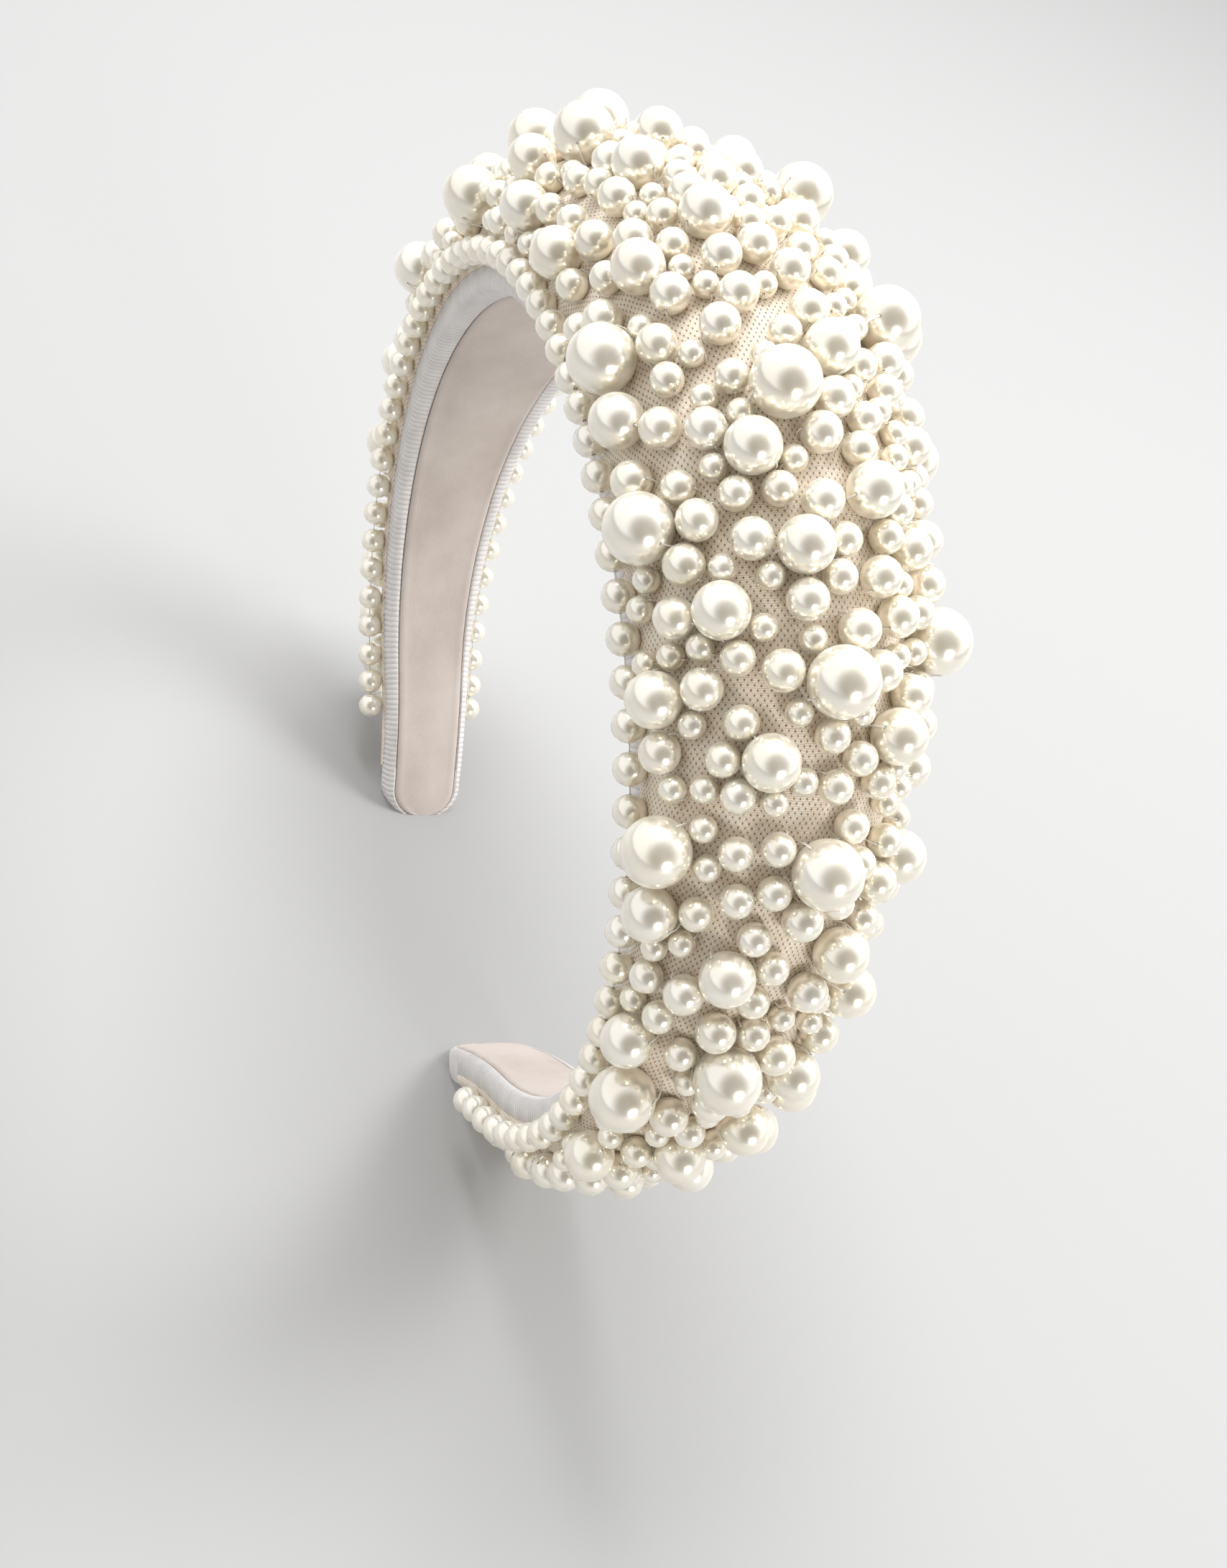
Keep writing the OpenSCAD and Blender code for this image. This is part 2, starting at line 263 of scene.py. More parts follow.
def addNode(tree, kind, inputs=None, **values):
    node = tree.nodes.new(kind)
    for key, value in values.items():
        setattr(node, key, value)
    for key, value in (inputs or {}).items():
        if isinstance(value, bpy.types.NodeSocket):
            tree.links.new(value, node.inputs[key])
        else:
            node.inputs[key].default_value = value
    return node


def addMath(tree, operation, first, second=0.0):
    return addNode(tree, "ShaderNodeMath", {0: first, 1: second}, operation=operation).outputs[0]


def mixColor(tree, share, first, second):
    return addNode(tree, "ShaderNodeMix", {0: share, 6: first, 7: second}, data_type="RGBA").outputs[2]


def mapRange(tree, value, given=(0.0, 1.0), wanted=(0.0, 1.0), kind="LINEAR"):
    ends = {0: value, 1: given[0], 2: given[1], 3: wanted[0], 4: wanted[1]}
    return addNode(tree, "ShaderNodeMapRange", ends, interpolation_type=kind).outputs[0]


def softStep(tree, value, given, wanted=(0.0, 1.0)):
    return mapRange(tree, value, given, wanted, "SMOOTHSTEP")


def buildMottle():  # soft cloudy change between two colours
    group, given, out = nodeGroup(
        "softMottle",
        [("Vector", "NodeSocketVector", None), ("Scale", "NodeSocketFloat", 100.0),
         ("Low", "NodeSocketColor", (0.5, 0.5, 0.5, 1)), ("High", "NodeSocketColor", (0.6, 0.6, 0.6, 1))],
        [("Color", "NodeSocketColor"), ("Cloud", "NodeSocketFloat")])
    noise = addNode(group, "ShaderNodeTexNoise", {"Vector": given.outputs[0], "Scale": given.outputs[1],
                                                  "Detail": 4.0, "Roughness": 0.6})
    cloud = mapRange(group, noise.outputs["Fac"], (0.3, 0.7))
    group.links.new(mixColor(group, cloud, given.outputs[2], given.outputs[3]), out.inputs[0])
    group.links.new(cloud, out.inputs[1])
    return group


# pitches and waver in metres; hole and line are the shares of a wave where a gap begins and ends; the gaps are real
# dips in the bump, and their dark colour is painted shade
weaveLook = {"dotPitch": 0.0009, "rowPitch": 0.0005, "waver": 0.0003, "waverScale": 900.0, "hole": (0.5, 0.88),
             "line": (0.35, 0.0), "lineShare": 0.3, "threadsPerRow": 4.0, "threadHeight": 0.25}


def buildWeave():  # staggered rows of small gaps between wavy threads
    group, given, out = nodeGroup(
        "pinholeWeave",
        [("Vector", "NodeSocketVector", None), ("Dot Pitch", "NodeSocketFloat", weaveLook["dotPitch"]),
         ("Row Pitch", "NodeSocketFloat", weaveLook["rowPitch"]), ("Waver", "NodeSocketFloat", weaveLook["waver"])],
        [("Gap", "NodeSocketFloat"), ("Height", "NodeSocketFloat")])
    noise = addNode(group, "ShaderNodeTexNoise",
                    {"Vector": given.outputs[0], "Scale": weaveLook["waverScale"], "Detail": 2.0})
    shift = addNode(group, "ShaderNodeVectorMath", {0: noise.outputs["Color"], 1: (0.5, 0.5, 0.5)},
                    operation="SUBTRACT")
    scaled = addNode(group, "ShaderNodeVectorMath", {0: shift.outputs[0], "Scale": given.outputs[3]},
                     operation="SCALE")
    moved = addNode(group, "ShaderNodeVectorMath", {0: given.outputs[0], 1: scaled.outputs[0]}, operation="ADD")
    parts = addNode(group, "ShaderNodeSeparateXYZ", {0: moved.outputs[0]})
    across = addMath(group, "DIVIDE", addMath(group, "MULTIPLY", parts.outputs[0], 2 * math.pi), given.outputs[1])
    down = addMath(group, "DIVIDE", addMath(group, "MULTIPLY", parts.outputs[1], math.pi), given.outputs[2])
    lattice = addMath(group, "MULTIPLY", addMath(group, "SINE", across), addMath(group, "SINE", down))
    hole = softStep(group, lattice, weaveLook["hole"])
    line = softStep(group, addMath(group, "ABSOLUTE", addMath(group, "SINE", down)), weaveLook["line"])
    # the gap mask sinks the bump below and also paints shade into the pinholes and the lines between rows
    gap = addMath(group, "MAXIMUM", hole, addMath(group, "MULTIPLY", line, weaveLook["lineShare"]))
    threads = addMath(group, "SINE", addMath(group, "MULTIPLY", down, weaveLook["threadsPerRow"]))
    height = addMath(group, "SUBTRACT", addMath(group, "MULTIPLY", threads, weaveLook["threadHeight"]), gap)
    group.links.new(gap, out.inputs[0])
    group.links.new(height, out.inputs[1])
    return group


softMottle, pinholeWeave = buildMottle(), buildWeave()


def newMaterial(name, **shader):
    material = bpy.data.materials.new(name)
    material.use_nodes = True
    tree = material.node_tree
    principled = tree.nodes["Principled BSDF"]
    for key, value in shader.items():
        principled.inputs[key.replace("_", " ")].default_value = value
    return material, tree, principled


def addGroup(tree, group, inputs):
    return addNode(tree, "ShaderNodeGroup", inputs, node_tree=group)


def addMottle(tree, place, scale, look):
    inputs = {"Vector": place, "Scale": scale, "Low": look["low"], "High": look["high"]}
    return addGroup(tree, softMottle, inputs).outputs


def addBump(tree, principled, height, distance, strength=1.0):
    bump = addNode(tree, "ShaderNodeBump", {"Height": height, "Distance": distance, "Strength": strength})
    tree.links.new(bump.outputs[0], principled.inputs["Normal"])


def objectPlace(tree):
    return tree.nodes.new("ShaderNodeTexCoord").outputs["Object"]


def flatPlace(tree):
    return tree.nodes.new("ShaderNodeTexCoord").outputs["UV"]


# colours are linear; scales are cycles per metre, depths are in metres
nacreLook = {"low": (0.93, 0.87, 0.745, 1), "high": (0.985, 0.95, 0.865, 1), "warm": (0.99, 0.915, 0.74, 1),
             "warmShare": 0.35, "mottleScale": 160.0, "cloudScale": 420.0, "rough": (0.17, 0.26),
             "facing": (0.25, 0.85), "metallic": (0.62, 0.06), "depth": 0.00002}
# the cover's gap colour is painted shade for the pinholes and row lines of its weave
coverLook = {"low": (0.92, 0.78, 0.62, 1), "high": (0.98, 0.89, 0.77, 1), "gap": (0.26, 0.165, 0.105, 1),
             "gapShare": 0.9, "mottleScale": 260.0, "rough": (0.36, 0.55), "depth": 0.00008}
liningLook = {"low": (0.50, 0.435, 0.385, 1), "high": (0.64, 0.57, 0.515, 1), "nap": (0.66, 0.59, 0.54, 1),
              "napShare": 0.3, "patchScale": 60.0, "napScale": 2600.0, "rough": (0.92, 0.75), "depth": 0.00015}
# the hem's gap colour and valley range paint shade into the valleys between its ribs
hemLook = {"low": (0.68, 0.655, 0.635, 1), "high": (0.80, 0.78, 0.76, 1), "gap": (0.46, 0.435, 0.42, 1),
           "gapShare": 0.55, "mottleScale": 220.0, "rib": 0.0011, "valley": (-0.4, -1.0), "yarnScale": 3500.0,
           "yarnShare": 0.5, "depth": 0.00005}
threadLook = {"low": (0.78, 0.75, 0.70, 1), "high": (0.90, 0.88, 0.84, 1)}
foamLook = {"low": (0.78, 0.74, 0.55, 1), "high": (0.88, 0.85, 0.7, 1)}
coreLook = {"low": (0.70, 0.68, 0.6, 1), "high": (0.76, 0.74, 0.67, 1)}
tapeLook = {"low": (0.8, 0.8, 0.76, 1), "high": (0.87, 0.87, 0.83, 1)}


def pearlMaterial():  # metallic where it faces out, cream and soft at the rim
    material, tree, shader = newMaterial(
        "creamNacre", IOR=1.6, Coat_Weight=0.7, Coat_Roughness=0.06, Coat_IOR=1.5,
        Subsurface_Weight=0.3, Subsurface_Scale=0.0015, Sheen_Weight=0.45, Sheen_Roughness=0.3,
        Sheen_Tint=(1.0, 0.92, 0.72, 1))
    shader.inputs["Subsurface Radius"].default_value = (1.0, 0.8, 0.55)
    look, place = nacreLook, objectPlace(tree)
    mottle = addMottle(tree, place, look["mottleScale"], look)
    tint = addNode(tree, "ShaderNodeAttribute", attribute_name="pearlTint").outputs["Fac"]
    warmth = addMath(tree, "MULTIPLY", tint, look["warmShare"])
    tree.links.new(mixColor(tree, warmth, mottle["Color"], look["warm"]), shader.inputs["Base Color"])
    cloud = addNode(tree, "ShaderNodeTexNoise", {"Vector": place, "Scale": look["cloudScale"], "Detail": 3.0})
    tree.links.new(mapRange(tree, cloud.outputs["Fac"], wanted=look["rough"]), shader.inputs["Roughness"])
    facing = addNode(tree, "ShaderNodeLayerWeight", {"Blend": 0.3}).outputs["Facing"]
    tree.links.new(softStep(tree, facing, look["facing"], look["metallic"]), shader.inputs["Metallic"])
    addBump(tree, shader, cloud.outputs["Fac"], look["depth"], 0.4)
    return material


def coverMaterial():
    material, tree, shader = newMaterial(
        "crepeSatin", Sheen_Weight=0.35, Sheen_Roughness=0.35, Sheen_Tint=(1.0, 0.94, 0.85, 1),
        Subsurface_Weight=0.08, Subsurface_Scale=0.001)
    look, place = coverLook, flatPlace(tree)
    weave = addGroup(tree, pinholeWeave, {"Vector": place}).outputs
    mottle = addMottle(tree, place, look["mottleScale"], look)
    # painted shade: the weave's pinholes and row lines are darkened toward a dark brown
    shadedDots = addMath(tree, "MULTIPLY", weave["Gap"], look["gapShare"])
    tree.links.new(mixColor(tree, shadedDots, mottle["Color"], look["gap"]), shader.inputs["Base Color"])
    tree.links.new(mapRange(tree, mottle["Cloud"], wanted=look["rough"]), shader.inputs["Roughness"])
    addBump(tree, shader, weave["Height"], look["depth"], 0.9)
    return material


def liningMaterial():
    material, tree, shader = newMaterial(
        "blushSuede", Sheen_Weight=0.6, Sheen_Roughness=0.45, Sheen_Tint=(1.0, 0.88, 0.83, 1))
    look, place = liningLook, objectPlace(tree)
    patches = addMottle(tree, place, look["patchScale"], look)
    nap = addNode(tree, "ShaderNodeTexNoise",
                  {"Vector": place, "Scale": look["napScale"], "Detail": 3.0, "Roughness": 0.7})
    speck = mapRange(tree, nap.outputs["Fac"], (0.3, 0.7), (0.0, look["napShare"]))
    tree.links.new(mixColor(tree, speck, patches["Color"], look["nap"]), shader.inputs["Base Color"])
    tree.links.new(mapRange(tree, patches["Cloud"], wanted=look["rough"]), shader.inputs["Roughness"])
    addBump(tree, shader, nap.outputs["Fac"], look["depth"], 0.7)
    return material


def hemMaterial():
    material, tree, shader = newMaterial(
        "ribbedRibbon", Roughness=0.6, Sheen_Weight=0.35, Sheen_Roughness=0.4, Sheen_Tint=(0.97, 0.96, 1.0, 1))
    look, place = hemLook, objectPlace(tree)
    along = addNode(tree, "ShaderNodeSeparateXYZ", {0: flatPlace(tree)}).outputs[1]
    rib = addMath(tree, "SINE", addMath(tree, "MULTIPLY", along, 2 * math.pi / look["rib"]))
    # painted shade: the valleys between the ribs are darkened toward the gap colour
    valley = addMath(tree, "MULTIPLY", softStep(tree, rib, look["valley"]), look["gapShare"])
    mottle = addMottle(tree, place, look["mottleScale"], look)
    tree.links.new(mixColor(tree, valley, mottle["Color"], look["gap"]), shader.inputs["Base Color"])
    yarn = addNode(tree, "ShaderNodeTexNoise", {"Vector": place, "Scale": look["yarnScale"], "Detail": 2.0})
    height = addMath(tree, "ADD", addMath(tree, "MULTIPLY", yarn.outputs["Fac"], look["yarnShare"]), rib)
    addBump(tree, shader, height, look["depth"], 0.8)
    return material


def plainMaterial(name, look, scale, bumpScale, bumpDepth, **shaderValues):
    material, tree, shader = newMaterial(name, **shaderValues)
    place = objectPlace(tree)
    tree.links.new(addMottle(tree, place, scale, look)["Color"], shader.inputs["Base Color"])
    grain = addNode(tree, "ShaderNodeTexNoise", {"Vector": place, "Scale": bumpScale, "Detail": 3.0})
    addBump(tree, shader, grain.outputs["Fac"], bumpDepth, 0.6)
    return material


creamNacre, crepeSatin = pearlMaterial(), coverMaterial()
blushSuede, ribbedRibbon = liningMaterial(), hemMaterial()
sewingThread = plainMaterial("sewingThread", threadLook, 300, 5000, 0.00003, Roughness=0.35, Coat_Weight=0.4)
openFoam = plainMaterial("openFoam", foamLook, 90, 1500, 0.0004, Roughness=0.95, Subsurface_Weight=0.1)
mouldedCore = plainMaterial("mouldedCore", coreLook, 60, 1200, 0.00004, Roughness=0.45)
tapeFilm = plainMaterial("tapeFilm", tapeLook, 80, 2200, 0.00003, Roughness=0.3, Coat_Weight=0.3)


def finishPiece(piece, material, slotName, *stoodFor):
    piece.data.materials.clear()
    piece.data.materials.append(material)
    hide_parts(*stoodFor)


# the two sides, and the CAD sections and bodies that each side's pieces stand for
sides = {"left": -1, "right": 1}


def bendWith(piece):
    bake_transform(piece)


def bothSections(sideName, ending):
    return ["crown" + ending, sideName + ending]


def bodyOf(section):
    return section + ("_section" if section == "crown" else "_arm")


# pearls, read from the CAD solids: how close faces agree on a centre in mm, and how many must
pearlSearch = {"agree": 0.4, "leastFaces": 40, "ballShare": 1.02, "wallShare": 0.5, "leastWall": 4}


def pearlsIn(node, radius):
    faces = nodes[node].data.polygons
    centres, normals = triples(faces, "center"), triples(faces, "normal")
    guess = centres - normals * radius
    left = np.ones(len(faces), bool)
    found = []
    while left.any():
        first = guess[np.argmax(left)]
        near = left & (np.linalg.norm(guess - first, axis=1) < pearlSearch["agree"] * mm)
        if near.sum() < pearlSearch["leastFaces"]:  # a wall of the bore, not of the ball
            left[np.argmax(left)] = False
            continue
        centre = (guess[near].min(axis=0) + guess[near].max(axis=0)) / 2
        ball = left & (np.linalg.norm(centres - centre, axis=1) < radius * pearlSearch["ballShare"])
        wall = ball & (np.linalg.norm(guess - centre, axis=1) > pearlSearch["wallShare"] * radius)
        hasWall = wall.sum() > pearlSearch["leastWall"]
        axis = np.linalg.svd(normals[wall])[2][-1] if hasWall else np.array([0, 0, 1.0])
        left &= ~ball & ~near
        found.append((centre, axis))
    return found


pearlSizes = {"10mm": 10, "8mm": 8, "6mm": 6, "5mm": 5, "4mm": 4}
edgePearlSize = 5
pearls = {}  # node name: (radius, [(centre, bore axis)])
for section in ("crown", "left", "right"):
    for label, size in pearlSizes.items():
        node = f"{section}_pearls_{label}"
        pearls[node] = (size / 2 * mm, pearlsIn(node, size / 2 * mm))
    for face in ("front", "back"):
        node = f"{section}_{face}_edge_pearls"
        pearls[node] = (edgePearlSize / 2 * mm, pearlsIn(node, edgePearlSize / 2 * mm))
print("headband: pearls found,", {node: len(found) for node, (radius, found) in pearls.items()})


# cover: crepe stretched over the foam, held down by each pearl's stitch
coverSize = {"across": 60, "along": 150, "cloth": 0.35, "puff": 0.34, "reach": 1.5, "firmEdge": 1.2,
             "ripple": 0.1, "rippleReach": 2.0}


def acrossLength(s, a, steps=24):  # cloth from the middle of the band to a
    total = np.zeros_like(s)
    for i in range(steps):
        y0, n0 = domeAt(s, a * i / steps)
        y1, n1 = domeAt(s, a * (i + 1) / steps)
        total += np.hypot(y1 - y0, n1 - n0)
    return total * np.sign(a)


def coverPlace(side):
    def place(u, v):
        s, a = layerEnd * v, np.radians(-90 + 180 * u)
        y, n = domeAt(s, a)
        return bandPoint(side * s, y, n), np.stack([acrossLength(s, a), side * s], axis=1) * mm
    return place


def nearestDistance(places, targets):
    best = np.full(len(places), 1e9)
    for target in targets:
        best = np.minimum(best, np.linalg.norm(places - target, axis=1))
    return best


covers, coverTrees = {}, {}
for sideName, sign in sides.items():
    cover = gridPiece(sideName + "Cover", coverSize["across"], coverSize["along"], coverPlace(sign))
    if float((outwardNormals(cover) @ np.array([0, 0, 1.0]))[:200].mean()) < 0:
        editAll(cover)
        bpy.ops.mesh.flip_normals()
        leaveEdit()
    covers[sideName] = cover
    coverTrees[sideName] = BVHTree.FromObject(cover, bpy.context.evaluated_depsgraph_get())


def contactOf(centre):
    hits = [tree.find_nearest(Vector(centre)) for tree in coverTrees.values()]
    place = min(hits, key=lambda hit: hit[3])[0]
    return np.array(place)


contacts = {}
for node, (radius, found) in pearls.items():
    if "edge" not in node:
        contacts[node] = [contactOf(centre) for centre, axis in found]
allContacts = np.array([place for places in contacts.values() for place in places])


def nearEdge(places, sign):  # mm to the cover's nearer long edge
    s = np.linspace(0, layerEnd, 200)
    lines = [bandPoint(sign * s, face * halfWidth(s), sideHeight + 0 * s) for face in (-1, 1)]
    return nearestDistance(places, np.concatenate(lines)) / mm


def puffCover(cover, sign):
    places, outward = points(cover), outwardNormals(cover)
    near = nearestDistance(places, allContacts)
    rise = coverSize["puff"] * (1 - np.exp(-(near / (coverSize["reach"] * mm)) ** 2))
    x, y, z = places.T
    ripple = np.sin(x * 2100 + y * 900) * np.sin(z * 1700 - y * 1300)
    rise += coverSize["ripple"] * ripple * np.clip(near / (coverSize["rippleReach"] * mm), 0, 1)
    firm = np.clip(nearEdge(places, sign) / coverSize["firmEdge"], 0, 1)
    movePoints(cover, places + outward * (rise * firm * mm)[:, None])


# stitch, rim, middle and end say how far from each the cloth is held, and most how far it may move, in mm
clothSize = {"grow": 50.0, "frames": 16, "quality": 6, "mass": 0.25, "air": 3.0, "stretch": 20.0, "shear": 8.0,
             "bending": 0.4, "pressure": 4.0, "slack": 0.07, "stitch": 1.1, "rim": 2.2, "middle": 1.5, "end": 6.0,
             "most": 0.42, "cap": 1.15}


def heldPoints(places, sign):
    endLine = bandPoint(np.full(9, sign * layerEnd), np.linspace(-8, 8, 9), np.full(9, 5.0))
    held = nearestDistance(places, allContacts) < clothSize["stitch"] * mm
    held |= nearEdge(places, sign) < clothSize["rim"]
    held |= np.abs(places[:, 0]) < clothSize["middle"] * mm
    held |= nearestDistance(places, endLine) < clothSize["end"] * mm
    return [int(i) for i in np.flatnonzero(held)]


def settleCloth(cover, sign):  # loose cloth, held where the pearls are sewn, pushed out by the foam
    before = points(cover)
    pins = cover.vertex_groups.new(name="held")
    pins.add(heldPoints(before, sign), 1.0, "REPLACE")
    movePoints(cover, before * clothSize["grow"])
    cloth = cover.modifiers.new("cloth", "CLOTH")
    settings = cloth.settings
    settings.quality, settings.mass, settings.air_damping = (clothSize[key] for key in ("quality", "mass", "air"))
    settings.tension_stiffness = settings.compression_stiffness = clothSize["stretch"]
    settings.shear_stiffness, settings.bending_stiffness = clothSize["shear"], clothSize["bending"]
    settings.vertex_group_mass, settings.pin_stiffness = pins.name, 1.0
    settings.use_pressure, settings.uniform_pressure_force = True, clothSize["pressure"]
    settings.shrink_min = -clothSize["slack"]
    settings.effector_weights.gravity = 0.0
    cloth.collision_settings.use_collision = False
    cloth.point_cache.frame_start, cloth.point_cache.frame_end = 1, clothSize["frames"]
    for frameNumber in range(1, clothSize["frames"] + 1):
        scene.frame_set(frameNumber)
    settled = cover.evaluated_get(bpy.context.evaluated_depsgraph_get())
    shift = points(settled) / clothSize["grow"] - before
    cover.modifiers.remove(cloth)
    cover.vertex_groups.remove(pins)
    scene.frame_set(1)
    # the simulated puckers keep their form, but nearly all are brought under the largest move wanted
    moved = np.linalg.norm(shift, axis=1)
    most = clothSize["most"] * mm
    scale = most / max(np.percentile(moved, 96), 1e-9)
    limit = np.minimum(1.0, clothSize["cap"] * most / np.maximum(moved * scale, 1e-12))
    movePoints(cover, before + shift * (limit * scale)[:, None])
    print("headband: cloth moved up to", round(moved.max() / mm, 2), "mm, scaled by", round(scale, 2))


for sideName, sign in sides.items():
    cover = covers[sideName]
    puffCover(cover, sign)
    settleCloth(cover, sign)
    addModifier(cover, "SUBSURF", levels=1, render_levels=1)
    addModifier(cover, "SOLIDIFY", thickness=coverSize["cloth"] * mm, offset=-1)
    smooth(cover, 50)
    finishPiece(cover, crepeSatin, "cover_fabric", *bothSections(sideName, "_cover"))
    bendWith(cover)
print("headband: cover done")


# foam padding, hidden under the cover; outlines are in mm, across the band and out from its inner face
def foamOutline(s):
    w, c = halfWidth(s), halfLining(s) - 1.4
    ring = [domeAt(s, math.radians(a), 1.0) for a in range(-84, 85, 12)]
    ring += [(w - 0.9, sideHeight - 0.4), (w - 0.9, 2.1), (w - 1.6, 0.95), (c + 0.2, 0.95), (c + 0.2, 2.9)]
    ring += [(-c - 0.2, 2.9), (-c - 0.2, 0.95), (1.6 - w, 0.95), (0.9 - w, 2.1), (0.9 - w, sideHeight - 0.4)]
    return ring


for sideName, sign in sides.items():
    foam = loftedPiece(sideName + "Foam", sign, 0.02, layerEnd - 0.2, 60, 1, foamOutline)
    smooth(foam, 35)
    finishPiece(foam, openFoam, "foam", *bothSections(sideName, "_foam_pad"))
    bendWith(foam)
print("headband: foam done")


# hems: ribbed ribbon turned round each long edge
hemSize = {"along": 700, "rib": 1.1, "depth": 0.055}


def hemOutline(face):
    def outline(s):
        w, b, top = halfWidth(s), halfLining(s) + 0.1, sideHeight + 0.05
        ring = [(b, 0.45), (b + 0.1, 0.8), (w - 1.3, 0.8), (w - 0.7, 1.8), (w - 0.7, top), (w - 0.3, top + 0.15),
                (w, top - 0.1), (w, 1.6), (w - 0.12, 0.95), (w - 0.5, 0.45), (w - 1.3, 0.12), (b + 0.35, 0.08)]
        return [(face * y, n) for y, n in ring]
    return outline


def hemRibs(s, y, n):
    wave = np.sin(2 * math.pi * s / hemSize["rib"]) * hemSize["depth"]
    outer = np.clip((np.abs(y) - halfWidth(s) + 0.6) / 0.6, 0, 1)
    under = np.clip((0.7 - n) / 0.6, 0, 1) * (1 - outer)
    return y + np.sign(y) * wave * outer, n - wave * under


for sideName, sign in sides.items():
    for faceName, face in (("Front", -1), ("Back", 1)):
        hem = loftedPiece(sideName + faceName + "Hem", sign, 0.0, layerEnd, hemSize["along"], 1,
                          hemOutline(face), hemRibs)
        smooth(hem, 60)
        finishPiece(hem, ribbedRibbon, "hem_fabric", *bothSections(sideName, f"_{faceName.lower()}_hem"))
        bendWith(hem)
print("headband: hems done")


# lining: suede ribbon along the inner face, with a rounded end at the tip
liningSize = {"along": 260, "thick": 0.8, "edgeRound": 0.55, "endRound": 6.0, "end": 0.4}


def tipRound(s, end, length):
    past = np.clip((s - (end - length)) / (length + 0.15), 0, 1)
    return np.sqrt(np.maximum(1 - past ** 2, 0.0001))


def liningOutline(s):
    h = halfLining(s) * tipRound(s, halfLength + liningSize["end"], liningSize["endRound"])
    r = np.minimum(liningSize["edgeRound"], h * 0.4)
    top = liningSize["thick"]
    half = [(h, 0.5 * top), (h - 0.12 * r, 0.22 * top), (h - 0.45 * r, 0.02), (h - r, -0.12), (h - 2.0 * r, -0.14),
            (h - 3.2 * r, -0.02), (h * 0.6, 0.0), (h * 0.3, -0.05), (0 * h, -0.08)]
    mirror = [(-y, n) for y, n in half[-2::-1]]
    return half + mirror + [(-h + 0.15, top), (h - 0.15, top)]


def liningNap(s, y, n):
    wave = 0.05 * np.sin(s * 0.31 + y * 0.2) * np.sin(y * 0.5 + s * 0.13) + 0.03 * np.sin(s * 1.1 + y)
    return y, n + wave * np.clip((0.4 - n) / 0.4, 0, 1)


def cutAtFloor(piece):
    editAll(piece)
    bpy.ops.mesh.bisect(plane_co=(0, 0, 0.00002), plane_no=(0, 0, 1), use_fill=True, clear_inner=True,
                        threshold=0.000001)
    bpy.ops.mesh.select_all(action="SELECT")
    bpy.ops.mesh.normals_make_consistent(inside=False)
    leaveEdit()


for sideName, sign in sides.items():
    lining = loftedPiece(sideName + "Lining", sign, 0.0, halfLength + liningSize["end"], liningSize["along"], 2,
                         liningOutline, liningNap)
    cutAtFloor(lining)
    smooth(lining, 50)
    finishPiece(lining, blushSuede, "lining_velvet", *bothSections(sideName, "_lining"))
    bendWith(lining)
print("headband: lining done")


# tips: the ribbon turned over the end of the padding
tipSize = {"along": 90, "round": 7.0, "depth": 0.05}


def tipOutline(s):
    k = tipRound(s, halfLength + 1, tipSize["round"])
    w, rise = halfWidth(s) * k, (bandHeight(s) - sideHeight) * np.sqrt(k)
    b = halfLining(s) * tipRound(s, halfLength + liningSize["end"], liningSize["endRound"]) + 0.12
    b = np.minimum(b, w - 0.5)
    below = [(b, 0.85), (b, 0.3), (np.minimum(w - 1.2 * k, w - 0.2), 0.1), (w - 0.35 * k, 0.5), (w, 1.5),
             (w, sideHeight)]
    angles = [math.radians(a) for a in range(-75, 76, 15)]
    dome = [(w * math.sin(a), sideHeight + rise * math.cos(a) ** bandSize["domePower"]) for a in angles]
    return [(-y, n) for y, n in below] + dome + below[::-1]


def tipRibs(s, y, n):
    wave = np.sin(2 * math.pi * s / hemSize["rib"]) * tipSize["depth"]
    wave *= np.clip((sideHeight + 0.5 - n) / 0.8, 0, 1)
    fold = 0.28 * np.exp(-((s - layerEnd - 0.5) / 0.7) ** 2) * np.clip((n - sideHeight) / 1.5, 0, 1)
    return y + np.sign(y) * wave * (np.abs(y) > halfLining(s) * 0.8), n + fold


for sideName, sign in sides.items():
    tip = loftedPiece(sideName + "Tip", sign, layerEnd + 0.02, halfLength + 1, tipSize["along"], 1,
                      tipOutline, tipRibs)
    cutAtFloor(tip)
    smooth(tip, 50)
    finishPiece(tip, ribbedRibbon, "lining_velvet", sideName + "_tip_wrap")
    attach(tip, sideName + "_arm")
print("headband: tips done")


# pearls: one ball for each size, then a copy for each place
pearlForm = {"fine": 8, "plain": 4, "fineOver": 3.5, "bore": 0.45, "edgeBore": 0.6, "rimShare": 0.62, "deep": 1.5}


